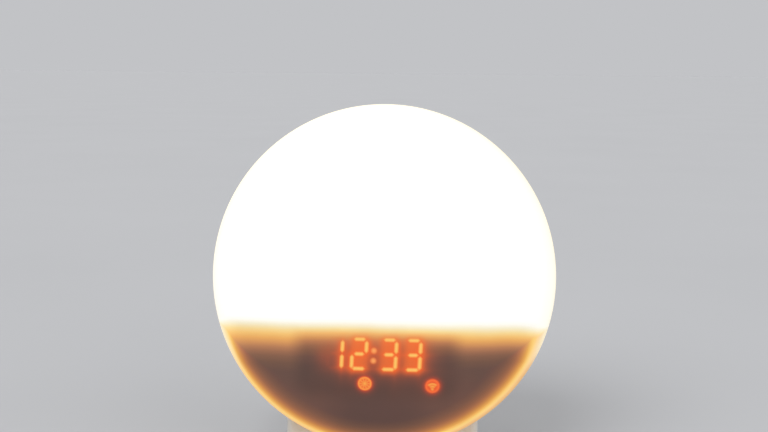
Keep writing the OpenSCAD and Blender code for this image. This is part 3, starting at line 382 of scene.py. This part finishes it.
def dome_fields(x, y):
    """The strength of each layer that the dome's material draws, at each point of its skin."""
    strokes = [d for cx, names in DIGITS for d in digit_strokes(x, y, cx, names)]
    ghost = np.minimum.reduce([d for cx, _ in DIGITS for d in digit_strokes(x, y, cx, "abcdefg")])
    colon = np.minimum.reduce([
        np.hypot(x - COLON_X - (cy - COLON_MID) * DIGIT_LEAN, y - cy) - COLON_R for cy in COLON_Y])
    disc = np.minimum.reduce([np.hypot(x - cx, y - cy) - ICON_R for cx, cy, _ in ICONS])
    line = np.minimum.reduce([icon_lines(x - cx, y - cy, kind) for cx, cy, kind in ICONS])
    cells = np.minimum.reduce([
        box(x - (y - CELL_Y) * DIGIT_LEAN, y, cx, CELL_Y, *CELL_SIZE) for cx, _ in DIGITS[1:]])
    # Light from every stroke adds up softly, so that the glow has no creases
    near, near_reach = NEAR_GLOW
    far, far_reach = FAR_GLOW
    halo = 1 - np.prod([(1 - near * fade(d, near_reach)) * (1 - far * fade(d, far_reach))
                        for d in strokes], axis=0)
    halo = halo * (1 - GLOW_CUT * smooth(np.clip((DIGIT_FOOT - y) / CUT_REACH, 0, 1)))
    # The second value of an edge is the width of its soft border, in mm
    return {
        "ink": edge(np.minimum.reduce(strokes), 0.9),
        "ghost": edge(ghost, 1.2) * np.clip(1 - np.abs(x - GHOST_X) / GHOST_REACH, 0, 1),
        "halo": np.clip(halo + COLON_GLOW * fade(colon, COLON_REACH) + LEAK * spot(x, y, *LEAK_SPOT), 0, 1),
        "colon": edge(colon, 1.3),
        "disc": edge(disc, 0.7),
        "core": edge(disc + CORE_INSET, 0.6),
        "glow": fade(disc, 0.9),
        "line": edge(line, 0.7),
        "cell": smooth(edge(cells, 6.0)),
        # The display block's painted shadow on the dome
        "block": smooth(edge(box(x, y, *BLOCK_SHADOW), 11.0)),
        # Painted shade over the lowest part of the face
        "shade": spot(x, y, *SHADE_SPOT),
    }


def closed_revolve(name, profile, angles):
    """A closed skin of revolution in the face frame. Its profile starts and ends on the axis."""
    a = np.array(angles)
    r, z = np.array(profile[1:-1]).T
    n, rings = len(a), len(r)
    wall = np.stack([np.outer(r, np.cos(a)), np.outer(r, np.sin(a)), np.outer(z, np.ones(n))], -1)
    flat = np.concatenate([[[0, 0, profile[0][1]]], wall.reshape(-1, 3), [[0, 0, profile[-1][1]]]])
    k = np.arange(n)
    k2 = (k + 1) % n
    faces = [(0, 1 + i, 1 + j) for i, j in zip(k, k2)]
    for q in range(rings - 1):
        b, c = 1 + q * n, 1 + (q + 1) * n
        faces += list(zip(b + k, c + k, c + k2, b + k2))
    last = 1 + (rings - 1) * n
    faces += [(last + i, len(flat) - 1, last + j) for i, j in zip(k, k2)]
    thing = new_object(name, [tuple(p) for p in flat.tolist()], [tuple(int(i) for i in f) for f in faces])
    place = Matrix.Translation((0, CENTRE_Y, CENTRE_Z)) @ Matrix.Rotation(math.pi / 2 - TILT, 4, "X")
    thing.data.transform(Matrix.Diagonal((MM, MM, MM, 1)) @ place)
    thing.data.polygons.foreach_set("use_smooth", [True] * len(thing.data.polygons))
    thing.data.update()
    return thing, flat


# Degrees round the axis, in finer steps where the digits and icons are
FINE_FROM, FINE_TO, FINE_STEP, WIDE_STEP = 222, 320, 0.5, 2.0
degrees, at = [], 0.0
while at < 359.99:
    degrees.append(at)
    at += FINE_STEP if FINE_FROM <= at < FINE_TO else WIDE_STEP
dome_angles = [math.radians(d) for d in degrees]

# The outer skin by radius, fine over the digits and icons, and then by angle down to the edge
outer = [(0.0, DOME_DEPTH)]
for first, end, step in ((3.0, 25.0, 2.75), (25.5, 62.0, 0.36), (62.5, 79.0, 1.1)):
    outer += [(r, float(dome_height(r))) for r in np.arange(first, end, step)]
BEND_R, BEND_STEPS = 79.5, 26
bend = math.acos((BEND_R / LAMP_R) ** (DOME_POWER / 2))
for k in range(BEND_STEPS):
    a = bend * (1 - k / BEND_STEPS)
    outer.append((LAMP_R * math.cos(a) ** (2 / DOME_POWER), DOME_DEPTH * math.sin(a) ** (2 / DOME_POWER)))
soft_edge = [(LAMP_R - 0.02, 0.45), (LAMP_R - 0.12, 0.22), (LAMP_R - 0.34, 0.05), (LAMP_R - 0.6, 0.0)]
CHAMFER, LIP_RISE = 0.3, 6
lip = [(LIP_R, 0.0), (LIP_R, -LIP_DEPTH + CHAMFER), (LIP_R - CHAMFER, -LIP_DEPTH),
       (LIP_INNER_R + CHAMFER, -LIP_DEPTH), (LIP_INNER_R, -LIP_DEPTH + CHAMFER),
       (LIP_INNER_R, DOME_WALL + LIP_RISE)]
inner = [(r, float(dome_height(r, DOME_WALL)))
         for r in (80.5, 78.5, 75.0, 70.0, 64.0, 56.0, 47.0, 37.0, 26.0, 14.0)]
profile = outer + soft_edge + lip + inner + [(0.0, DOME_DEPTH - DOME_WALL)]
dome, dome_points = closed_revolve("dome", profile, dome_angles)

outside = np.zeros(len(dome_points), bool)
outside[: 1 + (len(outer) - 1 + len(soft_edge)) * len(dome_angles)] = True
across, upwards = dome_points[:, 0], dome_points[:, 1]
fields = {name: np.where(outside, values, 0.0) for name, values in dome_fields(across, upwards).items()}
# How far a point is below the light's boundary, which sags a little towards its two ends. The light
# fades faster on the right.
SAG_FROM, SAG_LEFT, SAG_RIGHT, SAG_MOST, FADE_RIGHT = 56, 0.0035, 0.0056, 2.2, 0.0018
sag = np.where(across > 0, SAG_RIGHT, SAG_LEFT) * np.maximum(np.abs(across) - SAG_FROM, 0) ** 2
below_edge = BAFFLE_Y - upwards - np.minimum(sag, SAG_MOST)
fields["drop"] = np.where(below_edge > 0, below_edge * (1 + FADE_RIGHT * across), below_edge)
# How far it is inside the outline, and inside the photo's ring of light, which sits off the axis
RING_SHIFT = 0.85
fields["rim"] = LAMP_R - np.hypot(across, upwards)
fields["ring"] = LAMP_R - np.hypot(across + RING_SHIFT, upwards - RING_SHIFT)
for name, values in fields.items():
    layer = dome.data.attributes.new(name, "FLOAT", "POINT")
    layer.data.foreach_set("value", np.ascontiguousarray(values, dtype=np.float32))

t = Tree("lit_diffuser")
rim, ring, block = t.field("rim"), t.field("ring"), t.field("block")
drop = t.math("ADD", t.field("drop"), t.spread(t.noise(26, 2), -0.35, 0.35))

# The lower zone by distance below the boundary, beside the display block and in front of it: the diffuser in
# painted shade, dimly lit, and darker still in the block's painted shadow
edge_stops = [(-12, 255, 254, 252), (-6, 255, 254, 250), (-4, 255, 252, 241), (-2, 252, 241, 205)]
open_part = t.ramp(drop, edge_stops + [
    (0, 253, 223, 154), (2, 250, 200, 118), (4, 239, 175, 97), (6, 216, 151, 92), (8, 184, 126, 87),
    (10, 157, 108, 80), (12, 134, 95, 74), (15, 115, 84, 69), (19, 103, 77, 68), (32, 106, 77, 68)])
in_block_shadow = t.ramp(drop, edge_stops + [
    (-0.5, 252, 224, 155), (1.3, 246, 188, 112), (3.3, 218, 153, 90), (5, 185, 124, 83), (7, 150, 103, 75),
    (9, 127, 89, 69), (12, 104, 76, 66), (16, 92, 70, 63), (28, 87, 66, 60), (36, 88, 66, 58),
    (44, 109, 76, 63)])
below = t.mix(block, open_part, in_block_shadow)

# The ring of light, wider and paler where it meets the lit half
near_rim = t.math("MULTIPLY", ring, t.range(drop, 0, 16, 0.55, 1.0))
rim_glow = t.ramp(near_rim, [
    (0, 228, 179, 117), (1, 238, 188, 122), (2.4, 255, 209, 133), (3.4, 255, 211, 124), (4.2, 251, 200, 108),
    (5, 236, 178, 86), (5.8, 223, 158, 75), (6.8, 206, 138, 70), (8, 184, 118, 71), (9.5, 158, 102, 70),
    (11, 140, 93, 68), (13, 124, 86, 69), (16, 109, 78, 67), (20, 98, 73, 64), (26, 89, 68, 60)])
paler = t.math("MULTIPLY", t.range(drop, 0, 26, 1.0, 0.0, True), t.range(rim, 1.0, 6.5, 1.0, 0.0, True))
rim_glow = t.mix(paler, rim_glow, srgb(255, 243, 206))
# Inside the rim, the display block's painted shadow holds back the ring of light
over_block_shadow = t.math("MULTIPLY", block, t.range(rim, 9, 16))
lower = t.mix(1.0, below, t.mix(over_block_shadow, rim_glow, below), "LIGHTEN")
lower = t.mix(t.range(t.noise(45, 3), 0.35, 0.65, 0.0, 0.07), lower, srgb(150, 92, 74))
# Painted shade darkens the lowest middle of the face
lower = t.mix(t.field("shade"), lower, (0.77, 0.84, 0.91, 1.0), "MULTIPLY")

# The lit half by distance from the outline, joined to the lower zone
upper = t.ramp(rim, [
    (0, 255, 241, 208), (0.5, 255, 245, 218), (1.5, 255, 249, 231), (3.5, 255, 252, 241),
    (8, 255, 254, 249), (20, 255, 254, 252), (60, 255, 255, 254)])
glow = t.mix(t.range(drop, -4.5, -1.0), t.mix(1.0, upper, below, "DARKEN"), lower)

# What shines through on top of it: the field, its strength, and the colour
under = t.range(drop, -0.5, 7.5, 0.1, 0.96, True)
for name, strength, colour in (
        ("ghost", 0.22, srgb(206, 88, 58)), ("cell", 0.64, srgb(253, 127, 54)),
        ("halo", under, srgb(254, 105, 43)), ("glow", 0.85, srgb(214, 78, 46)),
        ("colon", 1.0, srgb(255, 164, 92)), ("disc", 1.0, srgb(255, 112, 56)),
        ("core", 0.6, srgb(226, 80, 42)), ("line", t.field("disc"), srgb(255, 172, 78)),
        ("ink", 1.0, srgb(255, 197, 101))):
    glow = t.mix(t.math("MULTIPLY", t.field(name), strength), glow, colour)

# The skin glows, more strongly in the lit half and at the rim, and reflects a little of the room's light. Its
# base colour is the glow made darker, so it carries the painted shade of the lower zone and the display
# block's painted shadow too
LIT, DIM, REFLECTED = 0.75, 0.65, 0.42
bright = t.math("MAXIMUM", t.range(ring, 4, 14, LIT, DIM), t.range(drop, -7, -2, LIT, DIM))
satin = t.noise(2400, 2)
dome.data.materials.append(t.set(
    base=t.mix(1.0, glow, (REFLECTED, REFLECTED, REFLECTED, 1.0), "MULTIPLY"), emit=glow, strength=bright,
    spec=0.25, rough=t.spread(satin, 0.46, 0.54), normal=t.bump(satin, 0.2, 0.00001)))
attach(dome, "case")
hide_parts("diffuser_dome")


# ---------------------------------------------------------------- printed symbols on the keys
def arc(cx, cy, r, a0, a1, steps=14):
    return [around(cx, cy, r, math.radians(a0 + (a1 - a0) * k / steps)) for k in range(steps + 1)]


def rays(cx, cy, r0, r1, count):
    return [[around(cx, cy, r, 2 * math.pi * k / count) for r in (r0, r1)] for k in range(count)]


def crescent(r, cx, cy, cut_r):
    """A moon: a circle about the origin less the circle at cx, cy."""
    d, to = math.hypot(cx, cy), math.degrees(math.atan2(cy, cx))
    half = math.degrees(math.acos((r * r - cut_r * cut_r + d * d) / (2 * d * r)))
    cut_half = math.degrees(math.acos((cut_r * cut_r - r * r + d * d) / (2 * d * cut_r)))
    horn = arc(0, 0, r, to + half, to + 360 - half, 24)
    return horn + arc(cx, cy, cut_r, to + 180 + cut_half, to + 180 - cut_half, 16)[1:-1] + horn[:1]


# Each symbol is a list of lines in mm, across the key and up it
SYMBOLS = {
    "key_snooze": [crescent(1.7, 0.95, 0.55, 1.4)],
    "key_radio": [arc(0, 0, 0.25, 0, 360, 8), arc(0, 0, 1.0, -50, 50), arc(0, 0, 1.0, 130, 230),
                  arc(0, 0, 1.75, -50, 50), arc(0, 0, 1.75, 130, 230)],
    "key_sound": [[(-1.7, -0.5), (-1.0, -0.5), (-0.1, -1.3), (-0.1, 1.3), (-1.0, 0.5), (-1.7, 0.5),
                   (-1.7, -0.5)],
                  arc(-0.1, 0, 1.0, -45, 45), arc(-0.1, 0, 1.75, -45, 45)],
    "key_volume": [[(-1.3, -1.1), (-1.3, -0.4)], [(0, -1.1), (0, 0.4)], [(1.3, -1.1), (1.3, 1.3)]],
    "key_light": [arc(0, 0, 0.85, 0, 360)] + rays(0, 0, 1.3, 1.9, 8),
    "key_colour": [[(0, 1.9)] + arc(0, -0.4, 1.2, 20, -200, 20) + [(0, 1.9)]],
    "key_alarm": [[(-1.6, -1.0), (-1.15, -0.6)] + arc(0, 0.3, 1.15, 180, 0, 12)
                  + [(1.15, -0.6), (1.6, -1.0), (-1.6, -1.0)],
                  arc(0, -1.2, 0.4, 200, 340, 6)],
    "key_time": [arc(0, 0, 1.7, 0, 360, 28), [(0, 1.05), (0, 0), (0.75, -0.35)]],
}
# The ink's width, the radius of its outer side and its thickness
PRINT_W, PRINT_R, PRINT_T = 0.36, LAMP_R + 0.47, 0.05
# A mitre is never longer than half the ink's width divided by this
MITRE_LIMIT = 0.5
KEY_FACE_Z = -7.0


def unit(v):
    return v.normalized() if v.length else Vector((0, 0))


def printed_symbol(name, lines):
    """Thin ink lines that follow the key's round face."""
    low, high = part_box(name)
    side = 1 if low[0] > 0 else -1
    key_y = ((low[2] + high[2]) / 2 / MM - CENTRE_Z - KEY_FACE_Z * math.sin(TILT)) / math.cos(TILT)
    points, faces = [], []
    for line in lines:
        closed = math.dist(line[0], line[-1]) < 1e-6
        base = len(points)
        for k, (u, v) in enumerate(line):
            before = line[k - 1] if k else (line[-2] if closed else line[0])
            after = line[k + 1] if k + 1 < len(line) else (line[1] if closed else line[-1])
            d1 = Vector((u - before[0], v - before[1]))
            d2 = Vector((after[0] - u, after[1] - v))
            along = unit(unit(d1) + unit(d2))
            reach = PRINT_W / 2 / max(MITRE_LIMIT, along.dot(unit(d2 if d2.length else d1)))
            nx, ny = -along.y * reach, along.x * reach
            for r in (PRINT_R, PRINT_R - PRINT_T):
                for s in (-1, 1):
                    a, b = (u + s * nx), key_y + v + s * ny
                    points.append(world(side * math.sqrt(r * r - b * b), b, KEY_FACE_Z - side * a))
        for k in range(len(line) - 1):
            a, b = base + 4 * k, base + 4 * (k + 1)
            faces += [(a, b, b + 1, a + 1), (a + 3, b + 3, b + 2, a + 2),
                      (a + 2, b + 2, b, a), (a + 1, b + 1, b + 3, a + 3)]
        if not closed:
            last = base + 4 * (len(line) - 1)
            faces += [(base, base + 1, base + 3, base + 2), (last + 2, last + 3, last + 1, last)]
    thing = new_object(name + "_print", points, faces)
    thing.data.materials.append(ink)
    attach(thing, name)


ink = moulded("symbol_ink", srgb(96, 96, 98), 0.5, grain=5200, vary=0.1)
for key_name, symbol in SYMBOLS.items():
    printed_symbol(key_name, symbol)


# ---------------------------------------------------------------- the foot, moulded with soft edges
# In mm, with x and z as in the row frame, and y from the lamp's centre where dome and ring meet
FOOT_W, FOOT_FRONT, FOOT_BACK, FOOT_CORNER = 97.0, -34.0, 46.0, 14.0
FOOT_BASE, TOE_TOP, TOE_ROUND, FOOT_WALL, PLATE_TOP = 0.6, 4.8, 1.6, 2.4, 2.45
NECK_FRONT, NECK_BACK, NECK_CORNER, NECK_COVE, NECK_END = -11.28, 30.72, 4.0, 3.0, 42.0
NECK_SLOPE = math.tan(math.radians(14))
# The lamp's outer form behind the dome, which the neck cradles
SADDLE_GAP, REAR_R, REAR_DEPTH, REAR_POWER, RING_BACK = 0.2, 52.0, 38.0, 2.4, -16.0
# Four screws hold the base plate, and two leaning ones go up into the rear housing
BASE_SCREWS = [(side * 40.5, y) for side in (-1, 1) for y in (-3.28, 21.72)]
BASE_BOSS_R, BASE_HOLE_R, BASE_HOLE_TOP = 3.5, 1.15, 11.0
LAMP_SCREW_X, LAMP_SCREW_END, LAMP_BOSS_R, LAMP_HOLE_R = 30, (0, -86.5, -26), 4.5, 1.55
POST_FOOT = -2.0
# Steps down and round the lamp's form, and the angle from which an edge of the foot stays sharp
FORM_STEPS, FORM_TURNS, SHARP = 22, 240, math.radians(28)


def rounded(x0, x1, y0, y1, r, z, steps=12):
    """A rectangle with round corners, as points at height z."""
    corners = [(x1 - r, y1 - r, 0), (x0 + r, y1 - r, 90), (x0 + r, y0 + r, 180), (x1 - r, y0 + r, 270)]
    return [around(cx, cy, r, math.radians(a + 90 * k / steps)) + (z,)
            for cx, cy, a in corners for k in range(steps + 1)]


def loft(name, outlines):
    """A closed skin through outlines that have the same number of points, from the lowest up."""
    n = len(outlines[0])
    points = [Vector((x, y + CENTRE_Y, z)) * MM for outline in outlines for x, y, z in outline]
    faces = [tuple(range(n))[::-1], tuple(range((len(outlines) - 1) * n, len(outlines) * n))]
    for q in range(len(outlines) - 1):
        a, b = q * n, (q + 1) * n
        faces += [(a + k, a + (k + 1) % n, b + (k + 1) % n, b + k) for k in range(n)]
    return new_object(name, points, faces)


def combined(thing, others):
    """The thing joined with or cut by the others, which are then removed."""
    for how, other in others:
        step = thing.modifiers.new(how, "BOOLEAN")
        step.operation, step.solver, step.object = how, "EXACT", other
    bpy.context.view_layer.update()
    mesh = bpy.data.meshes.new_from_object(thing.evaluated_get(bpy.context.evaluated_depsgraph_get()))
    thing.modifiers.clear()
    thing.data = mesh
    for _, other in others:
        bpy.data.objects.remove(other)


def plan(inset, z):
    """The outline of the toe."""
    side = FOOT_W / 2 - inset
    return rounded(-side, side, FOOT_FRONT + inset, FOOT_BACK - inset, FOOT_CORNER - inset, z)


def neck_section(z, inset=0.0):
    """The neck leans with the lamp in front and slopes at the back, and flares into the toe."""
    up = max(z - TOE_TOP, 0)
    flare = NECK_COVE - math.sqrt(NECK_COVE ** 2 - max(NECK_COVE - up, 0) ** 2) - inset
    return rounded(-FOOT_W / 2 + inset, FOOT_W / 2 - inset, NECK_FRONT + up * math.tan(TILT) - flare,
                   NECK_BACK - up * NECK_SLOPE + flare, NECK_CORNER - inset, z)


def post(x, y, r, low, top, lean=0.0):
    """A round post, or the hole in one, for a screw."""
    return loft("post", [rounded(x - r, x + r, y + z * lean - r, y + z * lean + r, r, z, 8)
                         for z in (low, top)])


def lamp_form(name, grow):
    """The lamp's outer form behind the dome, grown by a gap."""
    reach = LAMP_R + grow - REAR_R
    turns = [math.pi / 2 * k / FORM_STEPS for k in range(FORM_STEPS + 1)]
    form = [(0.0, DOME_DEPTH), (LAMP_R + grow, DOME_DEPTH)]
    form += [(REAR_R + reach * math.cos(a) ** (2 / REAR_POWER),
              RING_BACK - (REAR_DEPTH + grow) * math.sin(a) ** (2 / REAR_POWER)) for a in turns]
    return closed_revolve(name, form + [(0.0, RING_BACK - REAR_DEPTH - grow)],
                          [math.radians(360 / FORM_TURNS * k) for k in range(FORM_TURNS)])[0]


# The toe has a small chamfer at its foot and a quarter round at its top
quarter = [math.radians(15 * k) for k in range(7)]
toe_rings = [(0.5, FOOT_BASE), (0.15, FOOT_BASE + 0.12), (0, FOOT_BASE + 0.5)]
toe_rings += [(TOE_ROUND * (1 - math.cos(a)), TOE_TOP - TOE_ROUND * (1 - math.sin(a))) for a in quarter]
foot = loft("foot", [plan(inset, z) for inset, z in toe_rings])
neck_heights = [FOOT_BASE + 0.5] + [TOE_TOP - 0.2 + k * 0.4 for k in range(9)] + [10, 20, 30, NECK_END]
neck = loft("neck", [neck_section(z) for z in neck_heights])
pocket = loft("pocket", [plan(FOOT_WALL, -1.0), plan(FOOT_WALL, PLATE_TOP)])
screw_end = world(*LAMP_SCREW_END) / MM
lean = math.tan(TILT)
lean_y = screw_end.y - CENTRE_Y - screw_end.z * lean
hollow = loft("hollow", [neck_section(z, FOOT_WALL) for z in (0.0, 10.0, 20.0, 30.0, NECK_END)])
bosses = [post(x, y, BASE_BOSS_R, POST_FOOT, NECK_END) for x, y in BASE_SCREWS]
bosses += [post(side * LAMP_SCREW_X, lean_y, LAMP_BOSS_R, POST_FOOT, NECK_END, lean) for side in (-1, 1)]
holes = [post(x, y, BASE_HOLE_R, POST_FOOT, BASE_HOLE_TOP) for x, y in BASE_SCREWS]
holes += [post(side * LAMP_SCREW_X, lean_y, LAMP_HOLE_R, screw_end.z, NECK_END, lean) for side in (-1, 1)]
combined(hollow, [("DIFFERENCE", lamp_form("wide_saddle", SADDLE_GAP + FOOT_WALL))]
         + [("DIFFERENCE", thing) for thing in bosses])
combined(foot, [("UNION", neck), ("DIFFERENCE", hollow), ("DIFFERENCE", pocket),
                ("DIFFERENCE", lamp_form("saddle", SADDLE_GAP))] + [("DIFFERENCE", thing) for thing in holes])

shape = bmesh.new()
shape.from_mesh(foot.data)
bmesh.ops.remove_doubles(shape, verts=shape.verts, dist=0.000002)
for face in shape.faces:
    face.smooth = True
for e in shape.edges:
    e.smooth = len(e.link_faces) == 2 and e.calc_face_angle() < SHARP
shape.to_mesh(foot.data)
shape.free()
foot.data.materials.clear()
foot.data.materials.append(by_slot[slot_of["foot_shell"]])
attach(foot, "case")
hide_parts("foot_shell")


# ---------------------------------------------------------------- floor, backdrop and light
FLOOR_RINGS, FLOOR_FIRST, FLOOR_GROWTH, FLOOR_SIDES = 12, 0.4, 1.6, 96


def round_floor():
    """A wide flat disc, finer near the object."""
    radii = [FLOOR_FIRST * FLOOR_GROWTH ** k for k in range(FLOOR_RINGS)]
    n = FLOOR_SIDES
    points = [(0.0, 0.0, 0.0)]
    points += [around(0, 0, r, 2 * math.pi * k / n) + (0.0,) for r in radii for k in range(n)]
    faces = [(0, 1 + k, 1 + (k + 1) % n) for k in range(n)]
    for q in range(len(radii) - 1):
        a, b = 1 + q * n, 1 + (q + 1) * n
        faces += [(a + k, b + k, b + (k + 1) % n, a + (k + 1) % n) for k in range(n)]
    return new_object("floor", points, faces)


BACKDROP = srgb(194, 195, 198)
floor = round_floor()
t = Tree("floor_paint")
floor.data.materials.append(t.set(
    base=t.mix(t.spread(t.noise(3.0, 3)), srgb(192, 193, 196), BACKDROP), rough=0.9, spec=0.1))

scene = bpy.context.scene
scene.view_settings.view_transform = "Standard"
sky = bpy.data.worlds.new("sky")
scene.world = sky
sky.use_nodes = True
nodes, links = sky.node_tree.nodes, sky.node_tree.links
# The backdrop's own colour where it is seen or mirrored, and a soft white light everywhere else
shown, lit = nodes.new("ShaderNodeBackground"), nodes["Background"]
for background, colour, strength in ((shown, BACKDROP, 1.0), (lit, (1.0, 1.0, 1.0, 1.0), 0.5)):
    background.inputs["Color"].default_value = colour
    background.inputs["Strength"].default_value = strength
paths = nodes.new("ShaderNodeLightPath")
both = nodes.new("ShaderNodeMixShader")
seen = paths.outputs["Is Camera Ray"]
for kind in ("Is Glossy Ray", "Is Transmission Ray"):
    either = nodes.new("ShaderNodeMath")
    either.operation = "MAXIMUM"
    links.new(seen, either.inputs[0])
    links.new(paths.outputs[kind], either.inputs[1])
    seen = either.outputs[0]
links.new(seen, both.inputs[0])
links.new(lit.outputs[0], both.inputs[1])
links.new(shown.outputs[0], both.inputs[2])
links.new(both.outputs[0], nodes["World Output"].inputs[0])


def sun(name, azimuth, height, power, spread):
    """A soft light, even over the whole floor. Azimuth 0 is the front, and it grows to the object's left."""
    light = bpy.data.lights.new(name, "SUN")
    light.energy = power
    light.angle = math.radians(spread)
    thing = bpy.data.objects.new(name, light)
    a, h = math.radians(azimuth), math.radians(height)
    towards = Vector((-math.sin(a) * math.cos(h), -math.cos(a) * math.cos(h), math.sin(h)))
    thing.location = towards * 2
    thing.rotation_euler = towards.to_track_quat("Z", "Y").to_euler()
    scene.collection.objects.link(thing)


sun("key_light", 38, 48, 1.15, 40)
sun("fill_light", -60, 30, 0.55, 60)
sun("back_light", 170, 42, 0.6, 50)

# ---------------------------------------------------------------- camera at the photograph's angle
FOCAL, SENSOR, WIDTH = 50.0, 36.0, 768
# Its distance in mm, its turn, rise and roll in degrees, and how many pixels the lamp is below the middle
DISTANCE, TURN, RISE, ROLL, BELOW = 540.0, 2.5, 3.0, 0.9, 59
turn, rise = math.radians(TURN), math.radians(RISE)
eye = world(DISTANCE * math.sin(turn) * math.cos(rise), DISTANCE * math.sin(rise),
            DISTANCE * math.cos(turn) * math.cos(rise))
away = (world(0, 0, 0) - eye).normalized()
face_up = (world(0, 1, 0) - world(0, 0, 0)).normalized()
right = away.cross(face_up).normalized()
up = right.cross(away)
look = Matrix((right, up, -away)).transposed()
pitch = math.atan(BELOW / (FOCAL / SENSOR * WIDTH))
look = look @ Matrix.Rotation(math.radians(ROLL), 3, "Z") @ Matrix.Rotation(pitch, 3, "X")
view = bpy.data.cameras.new("view")
view.lens, view.sensor_width = FOCAL, SENSOR
view.clip_start, view.clip_end = 0.01, 50
camera = bpy.data.objects.new("view", view)
camera.matrix_world = Matrix.Translation(eye) @ look.to_4x4()
scene.collection.objects.link(camera)
scene.camera = camera
